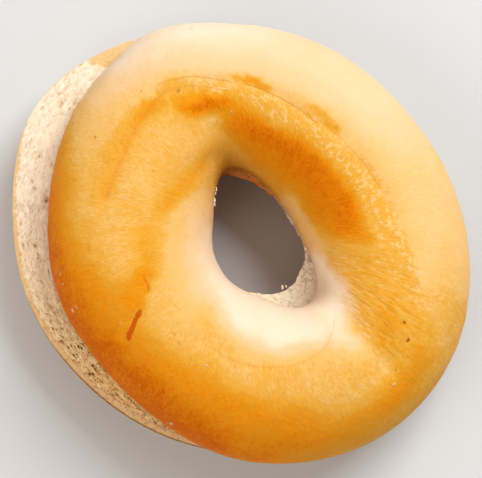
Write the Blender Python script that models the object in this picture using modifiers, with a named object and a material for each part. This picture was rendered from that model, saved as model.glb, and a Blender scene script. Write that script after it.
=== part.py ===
"""A sliced bagel: the crown rests on the heel it was cut from, slid a little to one side.

Both halves come from one kind of ring, a torus cage whose sections are set by an oval outline and
an egg-shaped hole. Metres, +Z up. Angles are in degrees, counter-clockwise from +X, seen from above.
"""

import math

import bpy
from mathutils import Vector
from mathutils.geometry import intersect_point_line

# The whole bagel, as baked
MEAN_RADIUS = 0.0531
OVAL_SWING = 0.0039
EQUATOR_HEIGHT = 0.0190
CROWN_RISE = 0.0186
BASE_SINK = 0.0215
SECTION_FULLNESS = 0.92

# The slice, and how the crown was put back: slid east, and turned a little from the heel's oval
CUT_HEIGHT = 0.0160
CUT_GAP = 0.0003
CROWN_SLIDE = (0.0070, -0.0032)
CROWN_OVAL_ANGLE = 125
HEEL_OVAL_ANGLE = 147

# Swells are (angle, spread, amount): a soft bump on a radius or a height, in degrees and metres
CROWN_OUTLINE_SWELLS = (
    (117, 10, 0.0033),
    (143, 11, 0.0010),
    (165, 9, -0.0003),
    (197, 17, 0.0016),
    (262, 12, 0.0007),
)
CROWN_HOLE_RADIUS = 0.0116
CROWN_HOLE_SWELLS = (
    (112, 13, 0.0022),
    (111, 31, 0.0072),
    (308, 31, 0.0085),
    (245, 24, 0.0012),
    (26, 37, -0.0017),
)
CROWN_RISE_SWELLS = (
    (58, 42, 0.0006),
    (196, 34, 0.0005),
    (262, 24, -0.0004),
)
HEEL_OUTLINE_SWELLS = (
    (136, 13, 0.0015),
    (149, 8, 0.0021),
    (180, 8, -0.0006),
    (208, 16, 0.0006),
    (258, 48, 0.0046),
    (261, 18, -0.0004),
)
HEEL_HOLE_RADIUS = 0.0128
HEEL_HOLE_SWELLS = (
    (99, 32, 0.0015),
    (322, 36, 0.0086),
    (327, 7, -0.0013),
    (350, 16, 0.0012),
    (35, 22, 0.0009),
)

# Folds and creases in the crown's crust: a path of (angle, share of the way from hole to rim),
# then its width and depth in metres
CROWN_FOLDS = (
    (((6, 0.56), (46, 0.52), (93, 0.53), (126, 0.57), (167, 0.62)), 0.0022, 0.0005),
    (((322, 0.00), (315, 0.28), (313, 0.66)), 0.0042, 0.0013),
    (((108, 0.00), (113, 0.24)), 0.0034, 0.0012),
    (((118, 0.06), (145, 0.22), (178, 0.35)), 0.0030, 0.0006),
    (((191, 0.40), (213, 0.52), (219, 0.79), (224, 0.81)), 0.0019, 0.0008),
    (((245, 0.44), (273, 0.45), (298, 0.33), (316, 0.16)), 0.0020, 0.0003),
    (((187, 0.91), (216, 0.94), (267, 0.93)), 0.0016, 0.0004),
)
FOLDS_END_HEIGHT = 0.0180
FOLDS_FULL_HEIGHT = 0.0230

# Fineness of the cage and of the solids
CROWN_SECTORS = 36
HEEL_SECTORS = 24
SECTION_POINTS = 12
SMOOTH_LEVELS = 2
CUTTER_SIDE = 0.3
SHARP_EDGE_ANGLE = 45

CRUST_COLOUR = (0.80, 0.42, 0.10, 1.0)
HEEL_COLOUR = (0.84, 0.66, 0.44, 1.0)
CRUST_ROUGHNESS = 0.38
HEEL_ROUGHNESS = 0.8


def swell_sum(angle, swells):
    """What the swells add at an angle, each fading as a bell on both sides of its own."""
    total = 0.0
    for at, spread, amount in swells:
        away = (angle - at + 180) % 360 - 180
        total += amount * math.exp(-((away / spread) ** 2))
    return total


def outline_radius(angle, oval_angle, swells):
    """Distance from the ring's middle to its outer edge."""
    oval = OVAL_SWING * math.cos(math.radians(2 * (angle - oval_angle)))
    return MEAN_RADIUS + oval + swell_sum(angle, swells)


def smoothing_gain(points):
    """How much larger a cage of this many points is than the smooth curve inside it."""
    return 3 / (2 + math.cos(2 * math.pi / points))


def add_ring_cage(name, sectors, oval_angle, outline_swells, hole_radius, hole_swells, rise_swells):
    """A torus primitive whose sections are stretched to the outline, the hole and the height."""
    middle = (MEAN_RADIUS + hole_radius) / 2
    bpy.ops.mesh.primitive_torus_add(
        major_segments=sectors,
        minor_segments=SECTION_POINTS,
        major_radius=middle,
        minor_radius=middle / 2,
    )
    ring = bpy.context.object
    ring.name = name
    ring.data.name = name
    for vertex in ring.data.vertices:
        across = math.hypot(vertex.co.x, vertex.co.y)
        angle = math.degrees(math.atan2(vertex.co.y, vertex.co.x))
        turn = math.atan2(vertex.co.z, across - middle)
        outer = outline_radius(angle, oval_angle, outline_swells) * smoothing_gain(sectors)
        inner = hole_radius + swell_sum(angle, hole_swells)
        half_width = (outer - inner) / 2 * smoothing_gain(SECTION_POINTS)
        radius = (outer + inner) / 2 + half_width * math.cos(turn)
        if vertex.co.z > 0:
            height = CROWN_RISE + swell_sum(angle, rise_swells)
        else:
            height = BASE_SINK
        height *= smoothing_gain(SECTION_POINTS)
        lift = math.copysign(abs(math.sin(turn)) ** SECTION_FULLNESS, math.sin(turn))
        direction = Vector((vertex.co.x, vertex.co.y, 0)) / across
        vertex.co = direction * radius
        vertex.co.z = EQUATOR_HEIGHT + height * lift
    return ring


def smooth_cage(ring):
    """Replaces the cage with its smooth surface, as one mesh that a Boolean can cut."""
    subdivision = ring.modifiers.new("Smooth", "SUBSURF")
    subdivision.levels = SMOOTH_LEVELS
    subdivision.render_levels = SMOOTH_LEVELS
    bpy.context.view_layer.update()
    graph = bpy.context.evaluated_depsgraph_get()
    smooth = bpy.data.meshes.new_from_object(ring.evaluated_get(graph))
    ring.modifiers.clear()
    ring.data = smooth
    smooth.name = ring.name


def unrolled(angle, across):
    """Lays the ring out flat: arc length along it and distance from the hole's edge."""
    width = MEAN_RADIUS - CROWN_HOLE_RADIUS
    middle = (MEAN_RADIUS + CROWN_HOLE_RADIUS) / 2
    return Vector((math.radians(angle) * middle, across * width))


def distance_to_path(place, path):
    """Shortest distance on the flat ring from a place to a fold's path."""
    nearest = math.inf
    for start, end in zip(path, path[1:]):
        _, share = intersect_point_line(place, unrolled(*start), unrolled(*end))
        foot = unrolled(*start).lerp(unrolled(*end), min(max(share, 0.0), 1.0))
        nearest = min(nearest, (place - foot).length)
    return nearest


def fold_depth(angle, across):
    """How deep the nearest folds pull the crust in, at a place on the crown."""
    place = unrolled(angle % 360, across)
    depth = 0.0
    for path, width, deepest in CROWN_FOLDS:
        depth = max(depth, deepest * math.exp(-((distance_to_path(place, path) / width) ** 2)))
    return depth


def press_folds(crown):
    """Pulls the crown's crust in along its folds, which fade out towards the cut."""
    for vertex in crown.data.vertices:
        if vertex.co.z < FOLDS_END_HEIGHT:
            continue
        fade = min((vertex.co.z - FOLDS_END_HEIGHT) / (FOLDS_FULL_HEIGHT - FOLDS_END_HEIGHT), 1.0)
        across = math.hypot(vertex.co.x, vertex.co.y)
        angle = math.degrees(math.atan2(vertex.co.y, vertex.co.x))
        outer = outline_radius(angle, CROWN_OVAL_ANGLE, CROWN_OUTLINE_SWELLS)
        inner = CROWN_HOLE_RADIUS + swell_sum(angle, CROWN_HOLE_SWELLS)
        share = (across - inner) / (outer - inner)
        vertex.co -= vertex.normal * fold_depth(angle, share) * fade


def add_cutter(name, low, high, cutters):
    """A square block from one height to another, which only cuts."""
    bpy.ops.mesh.primitive_cube_add(size=1)
    block = bpy.context.object
    block.name = name
    for vertex in block.data.vertices:
        vertex.co.x *= CUTTER_SIDE
        vertex.co.y *= CUTTER_SIDE
        vertex.co.z = high if vertex.co.z > 0 else low
    block.hide_render = True
    block.display_type = "WIRE"
    move_to(block, cutters)
    return block


def cut_away(ring, block):
    """Takes the block out of the ring."""
    boolean = ring.modifiers.new(block.name, "BOOLEAN")
    boolean.operation = "DIFFERENCE"
    boolean.solver = "EXACT"
    boolean.object = block


def move_to(piece, collection):
    """Leaves the piece in this collection alone."""
    for holder in list(piece.users_collection):
        holder.objects.unlink(piece)
    collection.objects.link(piece)


def add_collection(name):
    """A new collection in the scene."""
    collection = bpy.data.collections.new(name)
    bpy.context.scene.collection.children.link(collection)
    return collection


def bread_material(name, colour, roughness):
    """A plain Principled finish."""
    material = bpy.data.materials.new(name)
    material.use_nodes = True
    shader = material.node_tree.nodes["Principled BSDF"]
    shader.inputs["Base Color"].default_value = colour
    shader.inputs["Roughness"].default_value = roughness
    shader.inputs["Metallic"].default_value = 0.0
    return material


def finish_piece(piece, material, collection):
    """Gives a half its material, smooth shading and collection."""
    piece.data.materials.clear()
    piece.data.materials.append(material)
    piece.data.shade_smooth()
    piece.data.set_sharp_from_angle(angle=math.radians(SHARP_EDGE_ANGLE))
    move_to(piece, collection)


def plan_bounds(pieces):
    """The lowest and highest x and y over the pieces as placed."""
    xs, ys = [], []
    for piece in pieces:
        for vertex in piece.data.vertices:
            xs.append(vertex.co.x + piece.location.x)
            ys.append(vertex.co.y + piece.location.y)
    return min(xs), max(xs), min(ys), max(ys)


def centre_over_origin(pieces):
    """Slides all the pieces alike, so that the middle of their plan is at the origin."""
    west, east, south, north = plan_bounds(pieces)
    for piece in pieces:
        piece.location.x -= (west + east) / 2
        piece.location.y -= (south + north) / 2


def main():
    for old in list(bpy.data.objects):
        bpy.data.objects.remove(old)
    bagel = add_collection("bagel")
    cutters = add_collection("cutters")

    crown = add_ring_cage(
        "crown",
        CROWN_SECTORS,
        CROWN_OVAL_ANGLE,
        CROWN_OUTLINE_SWELLS,
        CROWN_HOLE_RADIUS,
        CROWN_HOLE_SWELLS,
        CROWN_RISE_SWELLS,
    )
    heel = add_ring_cage(
        "heel",
        HEEL_SECTORS,
        HEEL_OVAL_ANGLE,
        HEEL_OUTLINE_SWELLS,
        HEEL_HOLE_RADIUS,
        HEEL_HOLE_SWELLS,
        (),
    )
    smooth_cage(crown)
    smooth_cage(heel)
    press_folds(crown)
    crown.location = (CROWN_SLIDE[0], CROWN_SLIDE[1], 0)
    centre_over_origin([crown, heel])

    below_table = -CUTTER_SIDE
    above_bagel = CUTTER_SIDE
    crown_underside = add_cutter("crown_underside", below_table, CUT_HEIGHT + CUT_GAP, cutters)
    heel_topside = add_cutter("heel_topside", CUT_HEIGHT, above_bagel, cutters)
    heel_base = add_cutter("heel_base", below_table, 0.0, cutters)
    cut_away(crown, crown_underside)
    cut_away(heel, heel_topside)
    cut_away(heel, heel_base)

    finish_piece(crown, bread_material("golden_crust", CRUST_COLOUR, CRUST_ROUGHNESS), bagel)
    finish_piece(heel, bread_material("pale_crumb", HEEL_COLOUR, HEEL_ROUGHNESS), bagel)


main()
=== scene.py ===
"""A sliced bagel, dressed: browned crown, pale heel, torn crumbs, on a plain pale floor.

Metres, +Z up, +Y towards the hole's narrow end. Angles are in degrees, counter-clockwise from +X, seen
from above. A place on a ring is its angle and its share of the way from the hole's edge to the rim.
"""

import math

import bmesh
import bpy
import numpy as np
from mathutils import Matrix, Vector, noise


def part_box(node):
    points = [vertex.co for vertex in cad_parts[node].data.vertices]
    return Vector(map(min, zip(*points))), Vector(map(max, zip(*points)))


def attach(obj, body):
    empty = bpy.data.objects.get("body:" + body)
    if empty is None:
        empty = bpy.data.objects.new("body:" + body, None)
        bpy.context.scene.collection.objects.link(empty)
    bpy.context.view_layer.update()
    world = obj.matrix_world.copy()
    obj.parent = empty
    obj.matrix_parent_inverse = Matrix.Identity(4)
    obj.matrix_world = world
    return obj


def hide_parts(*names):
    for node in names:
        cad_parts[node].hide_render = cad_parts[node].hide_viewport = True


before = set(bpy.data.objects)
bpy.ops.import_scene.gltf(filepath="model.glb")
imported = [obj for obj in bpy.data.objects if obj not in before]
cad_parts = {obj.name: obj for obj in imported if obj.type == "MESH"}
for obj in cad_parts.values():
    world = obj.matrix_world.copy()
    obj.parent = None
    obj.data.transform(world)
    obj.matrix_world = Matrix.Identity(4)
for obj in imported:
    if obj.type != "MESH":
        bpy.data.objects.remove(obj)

MM = 0.001

# The ring that both halves were cut from
MEAN_RADIUS = 0.0531
OVAL_SWING = 0.0039
EQUATOR_HEIGHT = 0.0190
CROWN_RISE = 0.0186
BASE_SINK = 0.0215
SECTION_FULLNESS = 0.92
RING_WIDTH = 0.0415
SECTION_POINTS = 12
SMOOTH_LEVELS = 4
CUT_HEIGHT = 0.0160
CUT_GAP = 0.0003

# Each half: swells are (angle, spread, amount), soft bumps on a radius or a height
CROWN = {
    "middle": (0.0045, 0.0000),
    "sectors": 36,
    "oval_angle": 125,
    "outline_swells": (
        (117, 10, 0.0033), (143, 11, 0.0010), (165, 9, -0.0003), (197, 17, 0.0016), (262, 12, 0.0007),
    ),
    "hole_radius": 0.0116,
    "hole_swells": (
        (112, 13, 0.0022), (111, 31, 0.0072), (308, 31, 0.0085), (245, 24, 0.0012), (26, 37, -0.0017),
    ),
    "rise_swells": (
        (58, 42, 0.0006), (196, 34, 0.0005), (262, 24, -0.0004),
    ),
}
HEEL = {
    "middle": (-0.0025, 0.0032),
    "sectors": 24,
    "oval_angle": 147,
    "outline_swells": (
        (136, 13, 0.0015), (149, 8, 0.0021), (180, 8, -0.0006), (208, 16, 0.0006), (258, 48, 0.0046),
        (261, 18, -0.0004),
    ),
    "hole_radius": 0.0128,
    "hole_swells": (
        (99, 32, 0.0015), (322, 36, 0.0086), (327, 7, -0.0013), (350, 16, 0.0012), (35, 22, 0.0009),
    ),
    "rise_swells": (),
}

# Broad folds in the crown's crust: path of places, width, depth
CROWN_FOLDS = (
    (((6, 0.56), (46, 0.52), (93, 0.53), (126, 0.57), (167, 0.62)), 0.0022, 0.0005),
    (((322, 0.02), (315, 0.28), (313, 0.66)), 0.0042, 0.0013),
    (((108, 0.02), (113, 0.24)), 0.0034, 0.0004),
    (((118, 0.06), (145, 0.22), (178, 0.35)), 0.0030, 0.0006),
    (((245, 0.44), (273, 0.45), (298, 0.33), (316, 0.16)), 0.0020, 0.0003),
)

# Creases in the crust: path of places, width, depth
CROWN_CREASES = (
    (((127, 0.59), (118, 0.52), (106, 0.49), (93, 0.48), (77, 0.47), (60, 0.46)), 0.0007, 0.00030),
    (((61, 0.47), (47, 0.50), (30, 0.51), (18, 0.52), (7, 0.55), (358, 0.57)), 0.0008, 0.00022),
    (((127, 0.59), (138, 0.60), (152, 0.59), (162, 0.62), (172, 0.65)), 0.0009, 0.00020),
    (((213, 0.58), (216, 0.70), (219, 0.79)), 0.0008, 0.00070),
    (((219, 0.79), (223, 0.83), (226, 0.84)), 0.0008, 0.00025),
    (((192, 0.43), (197, 0.41), (203, 0.44), (207, 0.52), (210, 0.50), (213, 0.58)), 0.0008, 0.00035),
    (((242, 0.44), (256, 0.47), (272, 0.46), (287, 0.41), (300, 0.33), (312, 0.17)), 0.0008, 0.00016),
    (((325, 0.19), (325, 0.30), (324, 0.42), (322, 0.57), (321, 0.69)), 0.0007, 0.00022),
    (((316, 0.30), (319, 0.44), (321, 0.61), (323, 0.70)), 0.0007, 0.00022),
    (((329, 0.24), (329, 0.40), (327, 0.62)), 0.0007, 0.00018),
)

# Thin brown lines in the crust: path of places, half width in metres, strength
CROWN_LINES = (
    ((
        (127.5, 0.63), (122.5, 0.60), (118, 0.55), (112.5, 0.515), (106, 0.492), (97.5, 0.487)
    ), 0.00028, 0.62),
    ((
        (98, 0.487), (91.5, 0.486), (85, 0.476), (78, 0.470), (72, 0.465), (65, 0.46), (60, 0.46)
    ), 0.00028, 0.72),
    ((
        (131, 0.59), (127, 0.57), (123, 0.545), (118.5, 0.495), (112, 0.445), (107, 0.425), (99.5, 0.425)
    ), 0.00026, 0.50),
    (((62, 0.475), (50, 0.49), (38, 0.50), (30, 0.51), (18, 0.517)), 0.00026, 0.58),
    (((170, 0.205), (175.5, 0.265), (179.5, 0.345)), 0.00028, 0.45),
    (((207.5, 0.445), (213.5, 0.43), (220, 0.415), (227.5, 0.395)), 0.00026, 0.45),
    ((
        (241, 0.455), (250, 0.462), (262, 0.472), (275, 0.462), (290, 0.405), (300, 0.33), (312, 0.17)
    ), 0.00032, 0.42),
)

# The same for lines that run from the hole towards the rim
CROWN_CROSS_LINES = (
    (((220, 0.79), (221.5, 0.815), (224.5, 0.835)), 0.00034, 0.60),
    (((325, 0.17), (325, 0.30), (324, 0.42), (322, 0.57), (321, 0.70)), 0.00028, 0.60),
    (((315, 0.28), (318, 0.44), (321, 0.61), (323, 0.71)), 0.00026, 0.55),
    (((330, 0.22), (330, 0.38), (328, 0.50), (326.5, 0.64)), 0.00026, 0.50),
)

# Red-brown scars where the crust split and baked on: one across the ring, the rest along it
CROWN_SCARS = ((((214, 0.575), (216.5, 0.665), (218.5, 0.73), (220, 0.80)), 0.00062, 1.90),)
CROWN_SMEARS = (
    (((201, 0.475), (207, 0.475), (212, 0.52)), 0.00055, 0.75),
    (((197, 0.455), (202, 0.43), (207, 0.44)), 0.00035, 0.50),
    (((124, 0.57), (132, 0.575), (143, 0.57), (152, 0.575), (162, 0.61), (171, 0.65)), 0.00085, 0.46),
)

# Pin holes and burst bubbles, dark partly from the crust's own red-brown and partly from painted shade
# inside them: place, radius, how long for its width, strength
CROWN_PITS = (
    ((120, 0.49), 0.0004, 1.3, 0.55), ((130, 0.68), 0.0002, 1.0, 0.35),
    ((151, 0.38), 0.0003, 1.0, 0.30), ((150, 0.77), 0.0003, 1.0, 0.55),
    ((108, 0.90), 0.0002, 1.6, 0.55), ((231, 0.54), 0.0003, 2.2, 0.25),
    ((235, 0.56), 0.0003, 2.6, 0.25), ((327, 0.62), 0.0004, 0.6, 0.90),
    ((323, 0.69), 0.0003, 1.3, 1.00), ((314, 0.74), 0.0002, 1.0, 0.40),
    ((340, 0.65), 0.0008, 1.0, 0.14),
)

# Pale flecks of dried dough and flour on the crust, their paleness partly painted highlight: place,
# radius, how long for its width
CROWN_FLECKS_AND_GLINTS = (
    ((182, 0.93), 0.0002, 0.5), ((191, 0.94), 0.0003, 0.5), ((194, 0.94), 0.0003, 0.5),
    ((202, 0.95), 0.0003, 1.2), ((202, 0.92), 0.0002, 2.0), ((214, 0.75), 0.0002, 1.0),
    ((192, 0.67), 0.0002, 1.0), ((245, 0.98), 0.0003, 1.0), ((249, 0.57), 0.0002, 3.0),
    ((311, 0.79), 0.0003, 1.0), ((22, 0.39), 0.0003, 1.0), ((82, 0.28), 0.0002, 1.0),
    ((103, 0.28), 0.0002, 2.0),
)

# How brown the crust is, from 0 cream to 1 deep orange; a few coats also use it for painted light and
# painted highlight
CREAM = 0.00
IVORY = 0.08
BUTTER = 0.15
STRAW = 0.30
WHEAT = 0.45
GOLD = 0.56
HONEY = 0.62
AMBER = 0.73
TOFFEE = 0.80
ORANGE = 0.92
DEEP_ORANGE = 1.00

# The crust's ground tone, and the tone low down in the hole, where it can't be seen from above
BASE_TONE = WHEAT
WALL_TONE = 0.85
WALL_FROM = 0.0022
WALL_FADE = 0.0008

# The shares of a coat that goes on over the rim or into the hole
RIM, HOLE = 1.3, -0.4

# Coats are laid one over the other: a tone, a strength, how softly the coat ends across the ring and
# along it, and then its edges, each an angle and the shares between which the coat lies there.
CROWN_COATS = (
    # The first four coats pale the outer rim from the east round to the north-west: partly a paler bake
    # and partly painted highlight where the window's light falls.
    (STRAW, 1.0, 0.16, 22, (
        (-36, 0.6, RIM), (0, 0.58, RIM), (60, 0.56, RIM), (112, 0.5, RIM), (128, 0.64, RIM),
        (150, 0.78, RIM),
    )),
    (STRAW, 1.0, 0.12, 16, (
        (8, 0.62, RIM), (30, 0.6, RIM), (60, 0.56, RIM), (112, 0.54, RIM), (128, 0.7, RIM),
    )),
    (BUTTER, 1.0, 0.14, 18, (
        (32, 0.7, RIM), (60, 0.62, RIM), (100, 0.58, RIM), (114, 0.58, RIM), (130, 0.76, RIM),
    )),
    (CREAM, 0.8, 0.14, 14, ((88, 0.8, RIM), (110, 0.78, RIM), (134, 0.84, RIM))),
    (WHEAT, 0.9, 0.1, 10, ((113, 0.12, 0.42), (130, 0.18, 0.48), (150, 0.26, 0.52), (168, 0.36, 0.52))),
    (DEEP_ORANGE, 0.9, 0.06, 7, (
        (100, 0.3, 0.4), (110, 0.28, 0.38), (118, 0.3, 0.42), (124, 0.38, 0.48),
    )),
    (AMBER, 0.8, 0.05, 6, ((124, 0.46, 0.58), (132, 0.5, 0.63), (140, 0.56, 0.64))),
    (HONEY, 0.8, 0.06, 8, ((138, 0.52, 0.62), (152, 0.56, 0.66), (168, 0.62, 0.7))),
    (AMBER, 1.0, 0.08, 9, (
        (-6, 0.14, 0.42), (14, 0.05, 0.39), (40, 0.04, 0.34), (85, 0.0, 0.31), (106, 0.03, 0.36),
    )),
    (ORANGE, 1.0, 0.08, 12, (
        (-4, 0.2, 0.36), (20, 0.14, 0.37), (45, 0.12, 0.34), (80, 0.12, 0.29), (106, 0.12, 0.3),
    )),
    (WHEAT, 0.9, 0.06, 8, (
        (-20, 0.56, 0.66), (-12, 0.5, 0.61), (-3, 0.455, 0.565), (2, 0.4, 0.54), (30, 0.37, 0.5),
        (60, 0.34, 0.46), (90, 0.33, 0.44), (100, 0.4, 0.45),
    )),
    (AMBER, 0.9, 0.05, 8, (
        (124, 0.05, 0.13), (132, 0.07, 0.15), (146, 0.12, 0.22), (160, 0.18, 0.28), (172, 0.26, 0.34),
    )),
    (HONEY, 0.9, 0.06, 8, ((176, 0.33, 0.44), (190, 0.3, 0.46), (204, 0.34, 0.46))),
    (BUTTER, 1.0, 0.22, 14, (
        (134, HOLE, 0.0), (160, HOLE, 0.1), (185, HOLE, 0.17), (212, HOLE, 0.24), (232, HOLE, 0.34),
    )),
    (CREAM, 1.0, 0.14, 14, (
        (176, HOLE, -0.02), (204, HOLE, 0.06), (232, HOLE, 0.16), (246, HOLE, 0.26), (258, HOLE, 0.33),
        (280, HOLE, 0.36),
    )),
    (CREAM, 1.0, 0.11, 7, (
        (272, HOLE, 0.34), (288, HOLE, 0.32), (300, HOLE, 0.3), (312, HOLE, 0.28), (326, HOLE, 0.22),
        (338, HOLE, 0.04),
    )),
    (IVORY, 0.9, 0.14, 5, ((299, 0.1, 0.42), (311, 0.1, 0.5))),
    (STRAW, 0.9, 0.05, 12, ((-24, HOLE, 0.1), (0, HOLE, 0.06), (30, HOLE, 0.04), (60, HOLE, 0.03))),
    (GOLD, 0.9, 0.12, 5, ((316, 0.44, 0.78), (324, 0.38, 0.84), (334, 0.24, 0.7), (352, 0.16, 0.48))),
    (AMBER, 0.8, 0.07, 4, ((319, 0.46, 0.6), (328, 0.44, 0.62))),
    (TOFFEE, 0.9, 0.05, 5, ((198, 0.42, 0.5), (206, 0.42, 0.56), (209, 0.52, 0.64))),
    (WHEAT, 0.9, 0.05, 4, ((207, 0.6, 0.74), (218, 0.6, 0.76), (224, 0.7, 0.84))),
    (TOFFEE, 0.9, 0.12, 12, (
        (184, 0.76, RIM), (204, 0.66, RIM), (232, 0.66, RIM), (250, 0.58, RIM), (262, 0.66, RIM),
        (290, 0.7, RIM),
    )),
    (TOFFEE, 0.9, 0.12, 12, (
        (150, 0.94, RIM), (168, 0.87, RIM), (185, 0.84, RIM), (222, 0.76, RIM), (250, 0.7, RIM),
        (276, 0.76, RIM), (296, 0.84, RIM),
    )),
    (DEEP_ORANGE, 0.9, 0.1, 12, (
        (166, 0.97, RIM), (200, 0.88, RIM), (228, 0.84, RIM), (252, 0.86, RIM), (266, 0.9, RIM),
    )),
    (ORANGE, 0.9, 0.12, 12, ((296, 0.8, 0.92), (312, 0.8, 0.92), (326, 0.76, 0.88))),
    (GOLD, 0.9, 0.08, 12, ((280, 0.97, RIM), (300, 0.94, RIM), (330, 0.93, RIM))),
    (GOLD, 0.8, 0.14, 12, ((330, 0.74, RIM), (346, 0.76, 0.96))),
    (DEEP_ORANGE, 0.8, 0.03, 4, ((87, 0.49, 0.52), (98, 0.5, 0.54))),
    (AMBER, 0.7, 0.03, 6, ((52, 0.49, 0.54), (72, 0.49, 0.53))),
    (IVORY, 0.9, 0.1, 12, ((164, HOLE, 0.06), (190, HOLE, 0.1), (214, HOLE, 0.12))),
    # Painted light: this coat at the hole's narrow end offsets the shade that the fold there casts.
    (GOLD, 0.9, 0.05, 6, ((99, HOLE, 0.05), (108, HOLE, 0.08), (113, HOLE, 0.12), (121, HOLE, 0.17))),
    (ORANGE, 0.8, 0.05, 6, ((202, 0.56, 0.66), (210, 0.54, 0.7))),
    # Painted light: cream laid on the crown wall beside the hole's south-east edge, where the wall is
    # shaded.
    (CREAM, 0.9, 0.05, 8, ((304, HOLE, 0.07), (320, HOLE, 0.1), (334, HOLE, 0.09), (346, HOLE, 0.05))),
)

# The heel's cut face: the rind turns in at the south-west, as a rounded shoulder
TEAR_REACH = 0.0008
SHOULDER_ANGLE = 238
SHOULDER_SPREAD = 42
SHOULDER_FROM = 0.93
SHOULDER_DROP = 0.0014
RIND_AT_SHOULDER = 0.030
RIND_PATCHES = (((120, 0.94), 0.0036), ((124.5, 0.95), 0.0030), ((128, 0.975), 0.0018))
BARE_RIM = ((136, 0.988), (150, 0.985), (164, 0.982), (178, 0.976))
BAKED_LIP_ANGLE = 92
# Painted light: at this angle the heel's cut face beside the hole is made paler, with fewer pores
PAINTED_LIGHT_LIP_ANGLE = 316
FISSURED_PLACE = (334, 0.03)
# Holes in the heel's crumb, sunk and darkened with painted shade: place, radius
HEEL_HOLES = (
    ((166, 0.89), 0.0005), ((168, 0.87), 0.0006), ((170, 0.79), 0.0009), ((141, 0.83), 0.0005),
    ((143, 0.88), 0.0006), ((214, 0.93), 0.0006),
)

# Loose crumbs: half, place on its ring, height and size
LOOSE_CRUMBS = (
    (CROWN, (129, -0.020), 0.0215, 0.00042),
    (CROWN, (132, -0.016), 0.0210, 0.00032),
    (CROWN, (137, -0.014), 0.0210, 0.00048),
    (CROWN, (140, -0.016), 0.0208, 0.00040),
    (HEEL, (312.4, -0.034), 0.0166, 0.00050),
    (HEEL, (314.6, -0.026), 0.0164, 0.00030),
)

# Where the crust is blistered, and where it is drawn into fine wrinkles: angle, from share, to share
BLISTER_BAND = (
    (-20, 0.55, 0.68), (-12, 0.49, 0.62), (-3, 0.45, 0.58), (5, 0.43, 0.55),
    (30, 0.36, 0.50), (60, 0.33, 0.46), (90, 0.32, 0.46), (116, 0.38, 0.50),
)
WRINKLED_FAN = ((315, 0.20, 0.74), (325, 0.12, 0.78), (350, 0.14, 0.66))

# Low relief: how deep at full weight, or a grain and a strength
FOLD_DEPTH = 0.002
CREASE_DEPTH = 0.001
FLAKE_DEPTH = 0.00012
PORE_DEPTH = 0.0009
LUMPS = (0.012, 0.0005)
PUCKERS = (0.0028, 0.00022)
ROUGH_SIDES = (0.0022, 0.00035)
TORN_CRUMBS = (0.0006, 0.0005)

# Rows of faces across the flat faces
CROWN_CUT_BANDS = 24
HEEL_CUT_BANDS = 100
UNDERSIDE_BANDS = 10
SMOOTH_ANGLE = 50

# A dressed half's share of its node's box, the radius at which lines are measured, and their soft ends
BOX_SHARE = 0.9997
LINE_RADIUS = 0.034
LINE_TAPER = 0.002

# Colours
# The crumb's colours by tone: the dark end is painted shade, for pores and holes
CRUMB_STOPS = (
    (0.00, (0.90, 0.780, 0.600)), (0.22, (0.75, 0.630, 0.475)), (0.45, (0.65, 0.500, 0.340)),
    (0.70, (0.45, 0.290, 0.150)), (1.00, (0.16, 0.080, 0.025)),
)
TOAST_STOPS = (
    (0.00, (0.94, 0.740, 0.350)), (0.22, (0.84, 0.600, 0.230)), (0.45, (0.68, 0.430, 0.125)),
    (0.70, (0.38, 0.190, 0.045)), (1.00, (0.14, 0.060, 0.012)),
)
FISSURE_COLOUR = (0.34, 0.150, 0.045)
LINE_COLOUR = (0.48, 0.18, 0.013)
SCAR_STOPS = ((0.00, (0.60, 0.170, 0.010)), (1.00, (0.50, 0.085, 0.003)))
RIND_STOPS = (
    (0.00, (0.74, 0.560, 0.320)), (0.45, (0.66, 0.420, 0.180)), (1.00, (0.42, 0.190, 0.050)),
)
CRUST_STOPS = (
    (0.00, (0.710, 0.570, 0.420)), (0.20, (0.670, 0.440, 0.225)), (0.36, (0.650, 0.385, 0.120)),
    (0.52, (0.615, 0.304, 0.038)), (0.66, (0.600, 0.250, 0.014)), (0.80, (0.630, 0.215, 0.005)),
    (0.90, (0.600, 0.165, 0.002)), (1.00, (0.520, 0.105, 0.001)),
)
# Fleck colour: pale flake colour, partly painted highlight
FLECK_AND_GLINT_COLOUR = (0.66, 0.50, 0.30)
# Pit colour: the crust's red-brown darkened with painted shade
PIT_COLOUR = (0.24, 0.055, 0.006)
WALL_COLOUR = (0.70, 0.29, 0.06)
FLOOR_GREY = 0.515

# Soft square lamps: name, azimuth, elevation, distance, size, power, colour
LAMPS = (
    ("window", 48, 49, 0.90, 0.50, 8.9, (0.965, 0.995, 1.01)),
    ("north_window", 100, 66, 0.90, 0.50, 1.2, (1.0, 0.92, 0.84)),
    ("card", 220, 42, 0.70, 0.50, 2.3, (1.0, 0.91, 0.83)),
)
SKY_COLOUR = (1.0, 0.955, 0.935, 1)
SKY_AT_SIDES = 1.10
SKY_OVERHEAD = 0.10

# Camera
PHOTO_WIDTH, PHOTO_HEIGHT = 482, 478
METRES_PER_PIXEL = 0.00025
CAMERA_DISTANCE = 0.55
CAMERA_TILT = 9
CAMERA_SENSOR = 0.036
BAGEL_MIDDLE_PIXEL = (239.5, 243)


# Modelling helpers


def deselect_all():
    """Nothing selected, in object mode."""
    if bpy.context.object and bpy.context.object.mode != "OBJECT":
        bpy.ops.object.mode_set(mode="OBJECT")
    bpy.ops.object.select_all(action="DESELECT")


def pick(piece):
    """This piece alone is selected and active."""
    deselect_all()
    piece.select_set(True)
    bpy.context.view_layer.objects.active = piece


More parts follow.
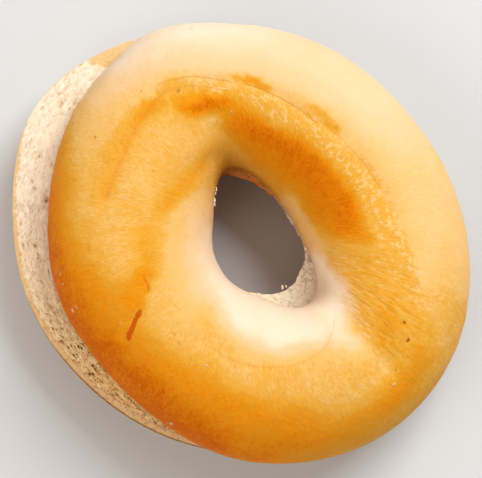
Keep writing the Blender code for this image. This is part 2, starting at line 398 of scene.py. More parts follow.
def select_vertices(piece, wanted):
    """In edit mode, selects just the vertices that the rule wants."""
    mesh = bmesh.from_edit_mesh(piece.data)
    for element in (*mesh.verts, *mesh.edges, *mesh.faces):
        element.select = False
    for vertex in mesh.verts:
        vertex.select = bool(wanted(vertex.co))
    mesh.select_flush_mode()
    bmesh.update_edit_mesh(piece.data)


def apply_modifier(piece, name):
    """Applies one modifier of the piece."""
    pick(piece)
    bpy.ops.object.modifier_apply(modifier=name)


def points_of(piece):
    """The vertices of the piece as an array."""
    flat = np.zeros(len(piece.data.vertices) * 3)
    piece.data.vertices.foreach_get("co", flat)
    return flat.reshape(-1, 3)


def add_attribute(piece, name, values):
    """Stores one number for each vertex, for the material to read."""
    attribute = piece.data.attributes.new(name, "FLOAT", "POINT")
    attribute.data.foreach_set("value", np.asarray(values, np.float32))


def add_vector_attribute(piece, name, values):
    """Stores one vector for each vertex, for the material to read."""
    attribute = piece.data.attributes.new(name, "FLOAT_VECTOR", "POINT")
    attribute.data.foreach_set("vector", np.asarray(values, np.float32).ravel())


def add_group(piece, name, weights):
    """Makes a vertex group of the weights, for a modifier to follow."""
    group = piece.vertex_groups.new(name=name)
    for index in np.nonzero(weights > 0.004)[0]:
        group.add([int(index)], float(weights[index]), "REPLACE")


def displace(piece, name, weights, strength, direction="NORMAL"):
    """Moves the surface by the weights of a vertex group, with an applied Displace modifier."""
    add_group(piece, name, weights)
    modifier = piece.modifiers.new(name, "DISPLACE")
    modifier.vertex_group = name
    modifier.direction = direction
    modifier.mid_level = 0.0
    modifier.strength = strength
    apply_modifier(piece, name)
    piece.vertex_groups.remove(piece.vertex_groups[name])


def roughen(piece, name, grain, strength, weights=None):
    """Gives the surface an even or masked roughness from a procedural texture."""
    texture = bpy.data.textures.new(name, "CLOUDS")
    texture.noise_scale = grain
    modifier = piece.modifiers.new(name, "DISPLACE")
    modifier.texture = texture
    modifier.texture_coords = "LOCAL"
    modifier.mid_level = 0.5
    modifier.strength = strength
    if weights is not None:
        add_group(piece, name, weights)
        modifier.vertex_group = name
    apply_modifier(piece, name)
    if weights is not None:
        piece.vertex_groups.remove(piece.vertex_groups[name])


# The ring's form


def turn_between(angle, other):
    """The shorter way round from the other angle to this one, in degrees."""
    return (angle - other + 180) % 360 - 180


def swell_sum(angle, swells):
    """What the swells add at an angle, or at an array of angles."""
    total = 0.0
    for at, spread, amount in swells:
        away = turn_between(angle, at)
        total = total + amount * np.exp(-((away / spread) ** 2))
    return total


def outline_radius(angle, half):
    """Distance from the ring's middle to its rim."""
    oval = OVAL_SWING * np.cos(np.radians(2 * (angle - half["oval_angle"])))
    return MEAN_RADIUS + oval + swell_sum(angle, half["outline_swells"])


def hole_radius(angle, half):
    """Distance from the ring's middle to the hole's edge."""
    return half["hole_radius"] + swell_sum(angle, half["hole_swells"])


def smoothing_gain(points):
    """How much larger a cage of this many points is than the smooth curve inside it."""
    return 3 / (2 + math.cos(2 * math.pi / points))


def surface_point(place, half):
    """The point of the upper surface at a place on the ring."""
    angle, share = place
    outer, inner = outline_radius(angle, half), hole_radius(angle, half)
    radius = inner + share * (outer - inner)
    across = min(max(2 * share - 1, -1), 1)
    height = (CROWN_RISE + swell_sum(angle, half["rise_swells"])) * math.sqrt(1 - across * across)
    turn = math.radians(angle)
    return np.array((radius * math.cos(turn), radius * math.sin(turn), EQUATOR_HEIGHT + height))


def fade(value):
    """A soft step, half way up at 0 and complete at -1 and 1."""
    value = np.clip(value * 0.5 + 0.5, 0, 1)
    return value * value * (3 - 2 * value)


class RingPlaces:
    """Where each vertex of a half lies on its ring."""

    def __init__(self, points, half):
        self.points = points
        self.height = points[:, 2]
        self.angle = np.degrees(np.arctan2(points[:, 1], points[:, 0]))
        self.radius = np.hypot(points[:, 0], points[:, 1])
        outer, inner = outline_radius(self.angle, half), hole_radius(self.angle, half)
        self.share = (self.radius - inner) / (outer - inner)
        middle, half_width = (outer + inner) / 2, (outer - inner) / 2
        lift = self.height - EQUATOR_HEIGHT
        reach = np.where(lift > 0, CROWN_RISE, BASE_SINK)
        turn = np.degrees(np.arctan2(lift / reach, (self.radius - middle) / half_width))
        self.arc = half_width * np.radians(180 - turn)
        self.drift_angle = 0.0
        self.drift_share = 0.0

    def warp(self):
        """Wanders the edges of coats that are asked for from now on."""
        wide, fine = noise_field(self.points, 0.007, 2.0), noise_field(self.points, 0.0025, 6.0)
        self.drift_angle = 4.5 * wide + 2.0 * fine
        wide, fine = noise_field(self.points, 0.008, 8.0), noise_field(self.points, 0.002, 1.0)
        self.drift_share = 0.030 * wide + 0.018 * fine

    def coat(self, soft_across, soft_along, edges):
        """Where a coat lies, from 0 to 1."""
        angles, starts, ends = np.array(edges, float).T
        middle = (angles[0] + angles[-1]) / 2
        away = turn_between(self.angle + self.drift_angle, middle)
        start = np.interp(away, angles - middle, starts)
        end = np.interp(away, angles - middle, ends)
        reach = (angles[-1] - angles[0]) / 2
        share = self.share + self.drift_share
        across = fade((share - start) / soft_across) * fade((end - share) / soft_across)
        return across * fade((reach - np.abs(away)) / soft_along)

    def spot_on_face(self, place, along, across):
        """A soft oval spot on a level face, full in its middle, its reaches in metres."""
        angle, share = place
        away = np.radians(turn_between(self.angle, angle)) * self.radius
        aside = (self.share - share) * RING_WIDTH
        return fade(2.4 - 2.4 * np.hypot(away / along, aside / across))


def distance_to_path(points, path):
    """Shortest distance from each point to a line through the path's points."""
    nearest = np.full(len(points), np.inf)
    for start, end in zip(path, path[1:]):
        step = end - start
        share = np.clip((points - start) @ step / (step @ step), 0, 1)
        gap = np.linalg.norm(points - start - share[:, None] * step, axis=1)
        nearest = np.minimum(nearest, gap)
    return nearest


def flat_point(place, half, height):
    """The point of a level face at a place on the ring."""
    angle, share = place
    inner = hole_radius(angle, half)
    radius = inner + share * (outline_radius(angle, half) - inner)
    turn = math.radians(angle)
    return np.array((radius * math.cos(turn), radius * math.sin(turn), height))


def smooth_path(places, half, pieces=4):
    """Points on the surface along a path of places, with steps between them filled in."""
    found = []
    for (angle_a, share_a), (angle_b, share_b) in zip(places, places[1:]):
        turn = turn_between(angle_b, angle_a)
        for step in range(pieces):
            part = step / pieces
            place = (angle_a + turn * part, share_a + (share_b - share_a) * part)
            found.append(surface_point(place, half))
    found.append(surface_point(places[-1], half))
    return found


def noise_field(points, grain, seed=0.0):
    """Smooth noise from -1 to 1 at each point, its grain in metres."""
    shift = Vector((seed, seed * 1.7, -seed))
    return np.array([noise.noise(Vector(point) / grain + shift) for point in points])


def wandered(points, grain, reach):
    """The points pushed about by smooth noise, so that a line measured from them wanders."""
    pushes = [noise_field(points, grain, seed) for seed in (3.1, 17.3, 41.9)]
    return points + reach * np.stack(pushes, axis=1)


def add_ring(name, half, materials):
    """A torus whose sections are scaled and moved to the outline, the hole and the height."""
    deselect_all()
    middle = (MEAN_RADIUS + half["hole_radius"]) / 2
    thick = (MEAN_RADIUS - half["hole_radius"]) / 2
    bpy.ops.mesh.primitive_torus_add(
        major_segments=half["sectors"],
        minor_segments=SECTION_POINTS,
        major_radius=middle,
        minor_radius=thick,
        location=(0, 0, EQUATOR_HEIGHT),
    )
    ring = bpy.context.object
    ring.name = ring.data.name = name
    for material in materials:
        ring.data.materials.append(material)
    bpy.ops.object.transform_apply(location=True, rotation=False, scale=False)
    bpy.ops.object.mode_set(mode="EDIT")
    bpy.ops.mesh.select_mode(type="VERT")
    for row in range(1, SECTION_POINTS // 4 + 1):
        sine = math.sin(2 * math.pi * row / SECTION_POINTS)
        select_vertices(ring, lambda co: abs(abs(co.z - EQUATOR_HEIGHT) - thick * sine) < thick * 0.01)
        factor = sine ** (SECTION_FULLNESS - 1)
        bpy.ops.transform.resize(value=(1, 1, factor), center_override=(0, 0, EQUATOR_HEIGHT))
    rise = smoothing_gain(SECTION_POINTS) / thick
    for sector in range(half["sectors"]):
        shape_section(ring, half, 360 * sector / half["sectors"], middle, thick, rise)
    bpy.ops.object.mode_set(mode="OBJECT")
    smooth = ring.modifiers.new("Smooth", "SUBSURF")
    smooth.levels = smooth.render_levels = SMOOTH_LEVELS
    apply_modifier(ring, "Smooth")
    return ring


def shape_section(ring, half, angle, middle, thick, rise):
    """Scales one section of the torus to its width and height, and moves it to its radius."""
    outer = outline_radius(angle, half) * smoothing_gain(half["sectors"])
    inner = hole_radius(angle, half)
    widen = (outer - inner) / 2 * smoothing_gain(SECTION_POINTS) / thick
    crown_height = (CROWN_RISE + swell_sum(angle, half["rise_swells"])) * rise
    turn = math.radians(angle)
    outward = Vector((math.cos(turn), math.sin(turn), 0))
    near = math.cos(math.pi / half["sectors"])

    def in_section(co):
        flat = Vector((co.x, co.y, 0))
        return flat.normalized().dot(outward) > near

    for upper, factor in ((True, crown_height), (False, BASE_SINK * rise)):
        select_vertices(ring, lambda co: in_section(co) and (co.z > EQUATOR_HEIGHT + MM) == upper)
        bpy.ops.transform.resize(value=(widen, widen, factor), center_override=(0, 0, EQUATOR_HEIGHT))
    select_vertices(ring, in_section)
    shift = outward * ((outer + inner) / 2 - widen * middle)
    bpy.ops.transform.translate(value=shift)


def slice_level(piece, height, keep_above, bands):
    """Cuts the ring level and closes it with a flat ring of faces, so many bands wide."""
    pick(piece)
    bpy.ops.object.mode_set(mode="EDIT")
    bpy.ops.mesh.select_all(action="SELECT")
    bpy.ops.mesh.bisect(
        plane_co=(0, 0, height),
        plane_no=(0, 0, 1),
        clear_inner=keep_above,
        clear_outer=not keep_above,
    )
    bpy.ops.mesh.bridge_edge_loops(number_cuts=bands, interpolation="LINEAR")
    bpy.ops.mesh.select_all(action="SELECT")
    bpy.ops.mesh.normals_make_consistent(inside=False)
    bpy.ops.object.mode_set(mode="OBJECT")


def settle_on_node(piece, node):
    """Slides the piece level until its plan is centred on the node's, and keeps it in the node's box."""
    low, high = (np.array(corner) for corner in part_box(node))
    points = points_of(piece)
    start, end = points.min(0), points.max(0)
    fit = np.minimum((high - low) * BOX_SHARE / (end - start), 1.0)
    piece.scale = fit
    piece.location = (low + high) / 2 - (start + end) / 2 * fit
    pick(piece)
    bpy.ops.object.transform_apply(location=True, rotation=False, scale=True)


# The crown


def make_crown():
    """The top half: cut level, folded, creased, pitted and blistered."""
    crown = add_ring("crown_half", CROWN, (crust_material(), bread_material()))
    slice_level(crown, CUT_HEIGHT + CUT_GAP, True, CROWN_CUT_BANDS)
    places = RingPlaces(points_of(crown), CROWN)
    above = np.clip((places.height - CUT_HEIGHT - 0.0008) / 0.004, 0, 1)

    fold = np.zeros(len(above))
    for path, width, depth in CROWN_FOLDS:
        line = [surface_point(place, CROWN) for place in path]
        fold = np.maximum(fold, depth * np.exp(-((distance_to_path(places.points, line) / width) ** 2)))
    wander = wandered(places.points, 0.004, 0.0007)
    broken = 0.55 + 0.45 * noise_field(places.points, 0.0022, 9.0)
    crease = np.zeros(len(above))
    for path, width, depth in CROWN_CREASES:
        gap = distance_to_path(wander, smooth_path(path, CROWN))
        crease = np.maximum(crease, depth * np.exp(-((gap / width) ** 2)) * broken)
    places.warp()
    blister = places.coat(0.06, 10, BLISTER_BAND)
    fan = places.coat(0.08, 4, WRINKLED_FAN)
    tone = np.full(len(above), BASE_TONE)
    for coat_tone, strength, soft_across, soft_along, edges in CROWN_COATS:
        tone = tone + (coat_tone - tone) * strength * places.coat(soft_across, soft_along, edges)
    depth = EQUATOR_HEIGHT - WALL_FROM - places.height
    under = fade(depth / WALL_FADE) * (places.share < 0.3)
    tone = tone + (WALL_TONE - tone) * under

    flakes = 1 - 2.4 * np.abs(noise_field(ring_way(places) * (1, 1, 2.4), 0.0026, 6.0))
    displace(crown, "folds", fold * above / FOLD_DEPTH, -FOLD_DEPTH)
    roughen(crown, "lumps", *LUMPS, above)
    roughen(crown, "puckers", *PUCKERS, above)
    displace(crown, "flakes", blister * np.clip(flakes, 0, 1) * above, -FLAKE_DEPTH)
    displace(crown, "creases", crease * above / CREASE_DEPTH, -CREASE_DEPTH)

    add_attribute(crown, "tone", tone)
    add_attribute(crown, "share", places.share)
    add_attribute(crown, "blister", blister)
    add_attribute(crown, "fan", fan)
    add_vector_attribute(crown, "ring_way", ring_way(places))
    assign_cut_face(crown, places, CUT_HEIGHT + CUT_GAP)
    settle_on_node(crown, "crown")
    return crown


def ring_way(places, level=False):
    """A direction map: round the ring in x and y, across it in z, without a seam."""
    turn = np.radians(places.angle)
    across = np.where(level, places.radius, places.arc)
    return np.stack((np.cos(turn) * MEAN_RADIUS, np.sin(turn) * MEAN_RADIUS, across), axis=1)


def assign_cut_face(piece, places, height):
    """Gives the level cut face the second material, and leaves a thin line of crust round it."""
    level = np.abs(places.height - height) < 0.0002
    inside = (places.share > 0.012) & (places.share < 0.985)
    crumb = level & inside
    for face in piece.data.polygons:
        if all(crumb[index] for index in face.vertices):
            face.material_index = 1


# The heel


def make_heel():
    """The bottom half: cut face up with open pores, a thin rind at its edges, flat underneath."""
    heel = add_ring("heel_half", HEEL, (bread_material(),))
    slice_level(heel, CUT_HEIGHT, False, HEEL_CUT_BANDS)
    slice_level(heel, 0.0, True, UNDERSIDE_BANDS)
    places = RingPlaces(points_of(heel), HEEL)
    level = np.abs(places.height - CUT_HEIGHT) < 0.0001
    rind = rind_depth(places)
    crumb = level * np.clip(0.5 - rind, 0, 1)

    pores = open_pores(places)
    fine = 0.5 + 0.5 * noise_field(places.points, 0.0012, 2.0)
    hollow = np.clip(0.8 * pores + 0.3 * fine, 0, 1)
    displace(heel, "pores", hollow * crumb, -PORE_DEPTH, "Z")
    tear_hole_edge(heel, places, level)
    outer = np.clip((places.share - SHOULDER_FROM) / (1 - SHOULDER_FROM), 0, 1)
    turned = turned_in(places)
    displace(heel, "shoulder", level * outer**2 * (0.3 + 0.7 * turned), -SHOULDER_DROP, "Z")
    sides = (~level) & (places.height > 0.001)
    roughen(heel, "rough_sides", *ROUGH_SIDES, sides * 1.0)

    # The pore mask also darkens the crumb's colour, as painted shade
    add_attribute(heel, "pore", hollow * crumb)
    add_attribute(heel, "rind", np.where(level, rind, 1.0))
    add_attribute(heel, "coarse", 0.35 + 0.65 * turned)
    baked = level * places.spot_on_face((BAKED_LIP_ANGLE, 0.0), 0.016, 0.0050)
    hole_wall = (~level) * np.clip((0.30 - places.share) / 0.1, 0, 1)
    add_attribute(heel, "wall", np.maximum(hole_wall, baked))
    # Painted light: a paler spot with fewer pores on the cut face at the hole's south-east lip
    add_attribute(heel, "painted_light", level * places.spot_on_face((PAINTED_LIGHT_LIP_ANGLE, 0.05), 0.016, 0.006))
    add_attribute(heel, "fissured", level * places.spot_on_face(FISSURED_PLACE, 0.0085, 0.0040))
    add_vector_attribute(heel, "ring_way", ring_way(places, level))
    settle_on_node(heel, "heel")
    return heel


def tear_hole_edge(heel, places, level):
    """Lets the crumb stick out over the hole and draw back again, as torn bread does."""
    torn = noise_field(places.points, 0.0016, 12.0) + 0.6 * noise_field(places.points, 0.0006, 14.0)
    high = np.clip(1 - (CUT_HEIGHT - places.height) / 0.003, 0, 1)
    near = np.exp(-((places.share / 0.03) ** 2)) * high
    for sign, name in ((1, "tear_in"), (-1, "tear_out")):
        weights = np.clip(sign * torn, 0, 1) * near * (1 - 0.4 * level)
        displace(heel, name, weights, sign * TEAR_REACH)


def turned_in(places):
    """How far the rind turns in over the cut face, full at the south-west."""
    return np.exp(-((turn_between(places.angle, SHOULDER_ANGLE) / SHOULDER_SPREAD) ** 2))


def gap_on_cut(places, place):
    """Distance of each vertex from a place on the heel's cut face."""
    return np.linalg.norm(places.points - flat_point(place, HEEL, CUT_HEIGHT), axis=1)


def rind_depth(places):
    """Below 0 on the crumb and above 0 on the rind, in steps of the share."""
    turned = turned_in(places)
    wide, fine = noise_field(places.points, 0.0016, 4.0), noise_field(places.points, 0.0007, 6.0)
    ragged = 0.012 * wide + 0.008 * fine
    rim_angles, rim_shares = np.array(BARE_RIM, float).T
    outer_edge = np.interp(places.angle % 360, rim_angles, rim_shares) - RIND_AT_SHOULDER * turned
    rind = places.share - outer_edge + ragged
    for place, radius in RIND_PATCHES:
        gap = gap_on_cut(places, place)
        rind = np.maximum(rind, (radius - gap) / RING_WIDTH + ragged)
    return np.clip(rind / 0.02, -1, 1)


def open_pores(places):
    """Small lengthened pores, thick in some stretches and few in others."""
    flat = ring_way(places, True) / (0.0022, 0.0022, 0.0010)
    cells = np.array([noise.voronoi(Vector(point))[0][0] for point in flat])
    stretch = np.clip(0.45 + noise_field(places.points, 0.006, 5.0), 0, 1)
    pores = np.clip(1 - cells * 2.0, 0, 1) * stretch
    for place, radius in HEEL_HOLES:
        gap = gap_on_cut(places, place)
        pores = np.maximum(pores, 1.2 * np.exp(-((gap / radius) ** 2)))
    return pores


# Loose crumbs


def make_crumbs():
    """Small torn crumbs that cling to the crown's hole edge and lie on the heel's."""
    deselect_all()
    pieces = []
    for half, place, height, size in LOOSE_CRUMBS:
        location = flat_point(place, half, height) + (*half["middle"], 0)
        bpy.ops.mesh.primitive_ico_sphere_add(subdivisions=3, radius=size, location=location)
        crumb = bpy.context.object
        bpy.ops.object.mode_set(mode="EDIT")
        turn = math.radians(place[0])
        bpy.ops.transform.rotate(value=turn, orient_axis="Z", center_override=crumb.location)
        bpy.ops.transform.resize(value=(0.6, 1.3, 0.5), center_override=crumb.location)
        bpy.ops.object.mode_set(mode="OBJECT")
        pieces.append(crumb)
    deselect_all()
    for crumb in pieces:
        crumb.select_set(True)
    bpy.context.view_layer.objects.active = pieces[0]
    bpy.ops.object.join()
    crumbs = bpy.context.object
    crumbs.name = crumbs.data.name = "loose_crumbs"
    bpy.ops.object.transform_apply(location=True, rotation=True, scale=True)
    crumbs.data.materials.append(crumb_material())
    roughen(crumbs, "torn_crumbs", *TORN_CRUMBS)
    return crumbs


# Materials


class Nodes:
    """A small helper that adds and links shader nodes."""

    def __init__(self, name):
        self.material = bpy.data.materials.new(name)
        self.material.use_nodes = True
        self.tree = self.material.node_tree
        self.shader = self.tree.nodes["Principled BSDF"]

    def add(self, kind, **settings):
        node = self.tree.nodes.new(kind)
        for key, value in settings.items():
            setattr(node, key, value)
        return node

    def link(self, source, target):
        self.tree.links.new(source, target)

    def attribute(self, name, output="Fac"):
        return self.add("ShaderNodeAttribute", attribute_name=name).outputs[output]

    def noise(self, vector, scale, detail=3.0, roughness=0.55):
        node = self.add("ShaderNodeTexNoise")
        node.inputs["Scale"].default_value = scale
        node.inputs["Detail"].default_value = detail
        node.inputs["Roughness"].default_value = roughness
        self.link(vector, node.inputs["Vector"])
        return node.outputs["Fac"]

    def cells(self, vector, scale):
        node = self.add("ShaderNodeTexVoronoi")
        node.inputs["Scale"].default_value = scale
        self.link(vector, node.inputs["Vector"])
        return node.outputs["Distance"]

    def step_down(self, value, width, top=1.0):
        """The top at a value of 0, falling softly to 0 at the width."""
        node = self.add("ShaderNodeMapRange", interpolation_type="SMOOTHSTEP")
        for slot, amount in zip(node.inputs[1:5], (0.0, width, top, 0.0)):
            slot.default_value = amount
        self.link(value, node.inputs[0])
        return node.outputs[0]

    def curve(self, value, low, high, points, base, span):
        """A smooth curve through the points, for a value between low and high."""
        ranged = self.add("ShaderNodeMapRange")
        for slot, amount in zip(ranged.inputs[1:5], (low, high, 0.0, 1.0)):
            slot.default_value = amount
        self.link(value, ranged.inputs[0])
        node = self.add("ShaderNodeFloatCurve")
        line = node.mapping.curves[0].points
        places = [((x - low) / (high - low), (y - base) / span) for x, y in sorted(points)]
        line[0].location, line[1].location = places[0], places[-1]
        for place in places[1:-1]:
            line.new(*place)
        node.mapping.update()
        self.link(ranged.outputs[0], node.inputs["Value"])
        return self.plus(self.times(node.outputs[0], span), base)

    def read_ring(self, way, share):
        """Keeps the place on the ring, in metres along it and across it, for lines and spots."""
        split = self.add("ShaderNodeSeparateXYZ")
        self.link(way, split.inputs[0])
        angle = self.math("ARCTAN2", split.outputs["Y"], split.outputs["X"])
        self.along = self.times(angle, LINE_RADIUS)
        self.across = self.times(share, RING_WIDTH)
        pair = self.add("ShaderNodeCombineXYZ")
        self.link(self.along, pair.inputs[0])
        self.link(self.across, pair.inputs[1])
        self.flat = pair.outputs[0]

    def spots(self, marks):
        """Small round or lengthened spots at places on the ring, as one mask."""
        mask = None
        for place, radius, length, strength in marks:
            along, across = flat_place(place)
            gap = self.add("ShaderNodeVectorMath", operation="MULTIPLY_ADD")
            gap.inputs[1].default_value = (1 / length, 1, 1)
            gap.inputs[2].default_value = (-along / length, -across, 0)
            self.link(self.flat, gap.inputs[0])
            size = self.add("ShaderNodeVectorMath", operation="LENGTH")
            self.link(gap.outputs[0], size.inputs[0])
            spot = self.step_down(size.outputs["Value"], radius * 1.6, strength)
            mask = spot if mask is None else self.math("MAXIMUM", mask, spot)
        return mask

    def line(self, path, half_width, strength, runs_across, wobble):
        """A thin line through places on the ring."""
        points = [flat_place(place) for place in path]
        along, across = self.along, self.across
        if runs_across:
            points = [(y, x) for x, y in points]
            along, across = across, along
        low, high = min(x for x, _ in points), max(x for x, _ in points)
        base = min(y for _, y in points) - RING_WIDTH
        wanted = self.curve(along, low, high, points, base, RING_WIDTH * 3)
        gap = self.math("ABSOLUTE", self.minus(self.plus(across, wobble), wanted))
        past = self.math("ABSOLUTE", self.minus(along, (low + high) / 2))
        past = self.minus(past, (high - low) / 2 - LINE_TAPER)
        on_line = self.step_down(gap, half_width * 1.6, strength)
        return self.times(on_line, self.step_down(past, LINE_TAPER))

    def math(self, operation, first, second=None, clamp=False):
        node = self.add("ShaderNodeMath", operation=operation, use_clamp=clamp)
        for slot, value in zip(node.inputs, (first, second)):
            if value is None:
                continue
            if isinstance(value, (int, float)):
                slot.default_value = value
            else:
                self.link(value, slot)
        return node.outputs[0]

    def times(self, first, second, clamp=False):
        return self.math("MULTIPLY", first, second, clamp)

    def plus(self, first, second, clamp=False):
        return self.math("ADD", first, second, clamp)

    def minus(self, first, second):
        return self.math("SUBTRACT", first, second)

    def scaled(self, vector, scale):
        node = self.add("ShaderNodeMapping")
        node.inputs["Scale"].default_value = scale
        self.link(vector, node.inputs["Vector"])
        return node.outputs["Vector"]

    def swing(self, value, amount):
        """Noise round its middle, so many times as strong."""
        return self.times(self.minus(value, 0.5), amount)

    def weighted_sum(self, parts):
        """The fields added up, each times its amount."""
        total = None
        for amount, field in parts:
            part = self.times(field, amount)
            total = part if total is None else self.plus(total, part)
        return total

    def ramp(self, value, stops):
        node = self.add("ShaderNodeValToRGB")
        ramp = node.color_ramp
        ramp.interpolation = "EASE"
        while len(ramp.elements) < len(stops):
            ramp.elements.new(1.0)
        for element, (position, colour) in zip(ramp.elements, stops):
            element.position = position
            element.color = (*colour, 1.0)
        self.link(value, node.inputs["Fac"])
        return node.outputs["Color"]

    def mix(self, share, first, second):
        node = self.add("ShaderNodeMix", data_type="RGBA")
        self.link(share, node.inputs[0])
        for slot, value in ((node.inputs[6], first), (node.inputs[7], second)):
            if isinstance(value, tuple):
                slot.default_value = (*value, 1.0)
            else:
                self.link(value, slot)
        return node.outputs[2]

    def bump(self, height, strength, distance):
        node = self.add("ShaderNodeBump")
        node.inputs["Strength"].default_value = strength
        node.inputs["Distance"].default_value = distance
        self.link(height, node.inputs["Height"])
        return node.outputs["Normal"]


def flat_place(place):
    """A place on the ring in metres along it, from -180 to 180 degrees, and across it."""
    angle, share = place
    return math.radians(turn_between(angle, 0)) * LINE_RADIUS, share * RING_WIDTH


def draw_lines(n, way, groups):
    """All the thin lines of these groups as one mask."""
    wobble = n.swing(n.noise(way, 500.0, 2.0), 0.0009)
    broken = n.plus(0.55, n.swing(n.noise(way, 420.0, 3.0), 1.8), clamp=True)
    mask = None
    for paths, runs_across in groups:
        for path, half_width, strength in paths:
            line = n.line(path, half_width, strength, runs_across, wobble)
            mask = line if mask is None else n.math("MAXIMUM", mask, line)
    whole = n.math("MAXIMUM", broken, n.times(mask, 1.2))
    return n.times(mask, whole, clamp=True)


def crust_material():
    """Thin baked crust: cream where pale, gold to orange where browned, with fine streaks across it;
    some coats carry painted light and highlight, the flecks painted highlight and the pits painted
    shade.
    """
    n = Nodes("golden_crust")
    place = n.add("ShaderNodeTexCoord").outputs["Object"]
    way = n.attribute("ring_way", "Vector")
    share = n.attribute("share")
    blister = n.attribute("blister")
    dashes = n.noise(n.scaled(way, (1500, 1500, 900)), 1.0, 4.0, 0.6)
    streaks = n.noise(n.scaled(way, (420, 420, 200)), 1.0, 3.0)
    mottle = n.noise(place, 120.0, 5.0)
    blots = n.noise(place, 620.0, 3.0, 0.6)
    grain = n.noise(place, 2600.0, 2.0)
    wrinkles = n.noise(n.scaled(way, (1000, 1000, 300)), 1.0, 4.0)
    leather = n.noise(n.scaled(way, (1000, 1000, 760)), 1.0, 4.0, 0.62)
    flakes = n.noise(n.scaled(way, (400, 400, 800)), 1.0, 3.0, 0.6)
    gaps = n.math("MAXIMUM", n.minus(0.30, n.math("ABSOLUTE", n.swing(flakes, 6.0))), 0.0)
    cracks = n.plus(n.swing(flakes, -1.9), gaps)
    n.read_ring(way, share)
    lines = draw_lines(n, way, ((CROWN_LINES, False), (CROWN_CROSS_LINES, True)))
    scars = draw_lines(n, way, ((CROWN_SCARS, True), (CROWN_SMEARS, False)))
    pits = n.spots(CROWN_PITS)
    flecks_and_glints = n.spots([(place, radius, length, 1.0) for place, radius, length in CROWN_FLECKS_AND_GLINTS])
    fan = n.times(n.attribute("fan"), n.swing(wrinkles, 1.0))
    cracks = n.times(blister, cracks)

    tone = n.attribute("tone")
    spread = n.math("MAXIMUM", n.plus(-0.10, n.times(tone, 2.0)), 0.16)
    spread = n.math("MINIMUM", spread, 1.05)
    speckle = None
    for field, amount in (
        (leather, -0.24), (dashes, 0.24), (streaks, 0.12), (mottle, 0.20), (blots, 0.08), (grain, 0.10)
    ):
        part = n.swing(field, amount)
        speckle = part if speckle is None else n.plus(speckle, part)
    tone = n.plus(tone, n.times(speckle, spread))
    tone = n.plus(tone, n.times(fan, 0.62))
    tone = n.plus(tone, n.times(cracks, 0.40))
    colour = n.ramp(tone, CRUST_STOPS)
    colour = n.mix(n.times(lines, 0.85), colour, LINE_COLOUR)
    colour = n.mix(scars, colour, n.ramp(scars, SCAR_STOPS))
    # Flecks: pale partly with painted highlight
    colour = n.mix(n.times(flecks_and_glints, 0.8), colour, FLECK_AND_GLINT_COLOUR)
    # Pits: dark partly with painted shade
    colour = n.mix(n.times(pits, 0.9), colour, PIT_COLOUR)
    n.link(colour, n.shader.inputs["Base Color"])

    rough = n.plus(0.50, n.swing(mottle, 0.22))
    n.link(n.plus(rough, n.swing(leather, 0.20)), n.shader.inputs["Roughness"])
    relief = n.weighted_sum((
        (0.26, leather), (0.14, dashes), (0.03, grain), (0.40, fan), (-0.08, cracks),
        (-0.12, lines), (-0.16, scars), (-0.50, pits), (0.20, flecks_and_glints),
    ))
    relief = n.times(relief, n.plus(0.20, n.times(n.attribute("tone"), 1.4)))
    n.link(n.bump(relief, 1.0, MM), n.shader.inputs["Normal"])
    n.shader.inputs["Specular IOR Level"].default_value = 0.03
    n.shader.inputs["Specular Tint"].default_value = (1.0, 0.60, 0.15, 1.0)
    return n.material


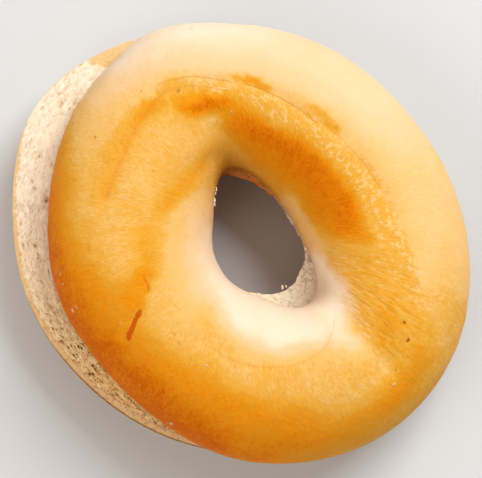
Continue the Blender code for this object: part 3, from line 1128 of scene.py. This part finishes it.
def bread_material():
    """Cut crumb, cream walls round small pores darkened with painted shade, a paler spot of painted
    light at one lip, and thin tan rind where the mask calls for it.
    """
    n = Nodes("pale_crumb")
    place = n.add("ShaderNodeTexCoord").outputs["Object"]
    way = n.attribute("ring_way", "Vector")
    soft = n.noise(place, 160.0, 4.0)
    fine = n.noise(place, 1500.0, 3.0)
    sponge = n.noise(n.scaled(way, (560, 560, 1300)), 1.0, 4.0, 0.65)
    wide = n.step_down(n.cells(n.scaled(way, (430, 430, 1100)), 1.0), 0.34)
    small = n.step_down(n.cells(n.scaled(way, (900, 900, 1900)), 1.0), 0.36)
    some = n.math("GREATER_THAN", n.noise(place, 420.0, 2.0), 0.47)
    pores = n.math("MAXIMUM", n.times(wide, some), n.times(small, 0.7))
    # Painted light: where this spot lies the crumb is paler and loses its pores
    painted_light = n.attribute("painted_light")
    pores = n.times(pores, n.times(n.attribute("coarse"), n.minus(1.0, painted_light)))
    split = n.minus(0.035, n.math("ABSOLUTE", n.swing(n.noise(place, 400.0, 2.0), 1.0)))
    split = n.times(n.times(split, 22.0, clamp=True), n.attribute("fissured"))
    # Painted shade: pores and holes push the crumb's tone towards the dark end of its ramp
    tone = n.plus(n.times(n.attribute("pore"), 0.55), n.times(pores, 0.85))
    tone = n.plus(tone, n.swing(soft, 0.35))
    swell = n.minus(0.52, n.times(painted_light, 0.35))
    swell = n.plus(swell, n.times(n.attribute("coarse"), 0.90))
    tone = n.plus(tone, n.times(n.swing(sponge, 1.0), swell))
    tone = n.plus(tone, n.minus(0.16, n.times(painted_light, 0.22)))
    toast = n.times(n.minus(n.attribute("coarse"), 0.40), 1.5, clamp=True)
    crumb = n.mix(toast, n.ramp(tone, CRUMB_STOPS), n.ramp(tone, TOAST_STOPS))
    crumb = n.mix(n.times(split, 0.75), crumb, FISSURE_COLOUR)

    skin = n.noise(place, 900.0, 4.0)
    shade = n.plus(n.plus(0.40, n.swing(soft, 0.7)), n.swing(skin, 0.8))
    tan = n.ramp(shade, RIND_STOPS)
    rind = n.plus(n.attribute("rind"), n.swing(skin, 2.0))
    rind = n.plus(0.5, n.times(rind, 1.6), clamp=True)
    colour = n.mix(rind, crumb, tan)
    n.link(n.mix(n.attribute("wall"), colour, WALL_COLOUR), n.shader.inputs["Base Color"])
    n.shader.inputs["Roughness"].default_value = 0.85
    n.shader.inputs["Specular IOR Level"].default_value = 0.12
    relief = n.weighted_sum((
        (0.42, sponge), (-0.45, pores), (-0.10, split), (0.10, fine), (0.12, skin),
    ))
    n.link(n.bump(relief, 1.0, MM), n.shader.inputs["Normal"])
    return n.material


def crumb_material():
    """Dry white crumb."""
    n = Nodes("dry_crumb")
    place = n.add("ShaderNodeTexCoord").outputs["Object"]
    fine = n.noise(place, 2600.0, 4.0)
    n.link(n.ramp(fine, CRUMB_STOPS[:2]), n.shader.inputs["Base Color"])
    n.shader.inputs["Roughness"].default_value = 0.9
    n.shader.inputs["Specular IOR Level"].default_value = 0.12
    n.link(n.bump(fine, 0.6, 0.0002), n.shader.inputs["Normal"])
    return n.material


# Floor, light and camera


def make_floor():
    """A plain pale surface."""
    deselect_all()
    bpy.ops.mesh.primitive_plane_add(size=6, location=(0, 0, 0))
    floor = bpy.context.object
    floor.name = "floor"
    n = Nodes("pale_floor")
    n.shader.inputs["Base Color"].default_value = (FLOOR_GREY, FLOOR_GREY, FLOOR_GREY, 1)
    n.shader.inputs["Roughness"].default_value = 0.6
    floor.data.materials.append(n.material)


def add_soft_light(name, azimuth, elevation, distance, size, power, colour):
    """A square lamp that looks at the bagel from a side and a height."""
    light = bpy.data.lights.new(name, "AREA")
    light.size = size
    light.energy = power
    light.color = colour
    lamp = bpy.data.objects.new(name, light)
    bpy.context.scene.collection.objects.link(lamp)
    side, up = math.radians(azimuth), math.radians(elevation)
    away = Vector((math.cos(side) * math.cos(up), math.sin(side) * math.cos(up), math.sin(up)))
    lamp.location = away * distance
    lamp.rotation_mode = "QUATERNION"
    lamp.rotation_quaternion = away.to_track_quat("Z", "Y")


def make_light():
    """Windows from the north-east and, high and weak, the north; a warm card; a pale surround."""
    for lamp in LAMPS:
        add_soft_light(*lamp)
    world = bpy.data.worlds.new("surround")
    world.use_nodes = True
    nodes, links = world.node_tree.nodes, world.node_tree.links
    split = nodes.new("ShaderNodeSeparateXYZ")
    links.new(nodes.new("ShaderNodeTexCoord").outputs["Generated"], split.inputs[0])
    height = nodes.new("ShaderNodeMapRange")
    for slot, amount in zip(height.inputs[1:5], (0.0, 1.0, SKY_AT_SIDES, SKY_OVERHEAD)):
        slot.default_value = amount
    links.new(split.outputs["Z"], height.inputs[0])
    background = nodes["Background"]
    background.inputs["Color"].default_value = SKY_COLOUR
    links.new(height.outputs[0], background.inputs["Strength"])
    bpy.context.scene.world = world


def make_camera():
    """Looks almost straight down, tipped a little to the south."""
    data = bpy.data.cameras.new("camera")
    data.sensor_width = CAMERA_SENSOR * 1000
    data.lens = data.sensor_width * CAMERA_DISTANCE / (PHOTO_WIDTH * METRES_PER_PIXEL)
    camera = bpy.data.objects.new("camera", data)
    bpy.context.scene.collection.objects.link(camera)
    aim = Vector((
        (PHOTO_WIDTH / 2 - BAGEL_MIDDLE_PIXEL[0]) * METRES_PER_PIXEL,
        (BAGEL_MIDDLE_PIXEL[1] - PHOTO_HEIGHT / 2) * METRES_PER_PIXEL,
        CUT_HEIGHT,
    ))
    tilt = math.radians(CAMERA_TILT)
    back = Vector((0, -math.sin(tilt), math.cos(tilt)))
    camera.location = aim + back * CAMERA_DISTANCE
    camera.rotation_euler = (tilt, 0, 0)
    data.clip_start = 0.01
    data.clip_end = 20
    bpy.context.scene.camera = camera


def finish_piece(piece, node=None):
    """Smooth shading, and its place in the frame."""
    pick(piece)
    bpy.ops.object.shade_smooth_by_angle(angle=math.radians(SMOOTH_ANGLE))
    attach(piece, "root")
    if node:
        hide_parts(node)


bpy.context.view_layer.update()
finish_piece(make_crown(), "crown")
finish_piece(make_heel(), "heel")
finish_piece(make_crumbs())
make_floor()
make_light()
make_camera()
scene_view = bpy.context.scene.view_settings
scene_view.view_transform = "Standard"
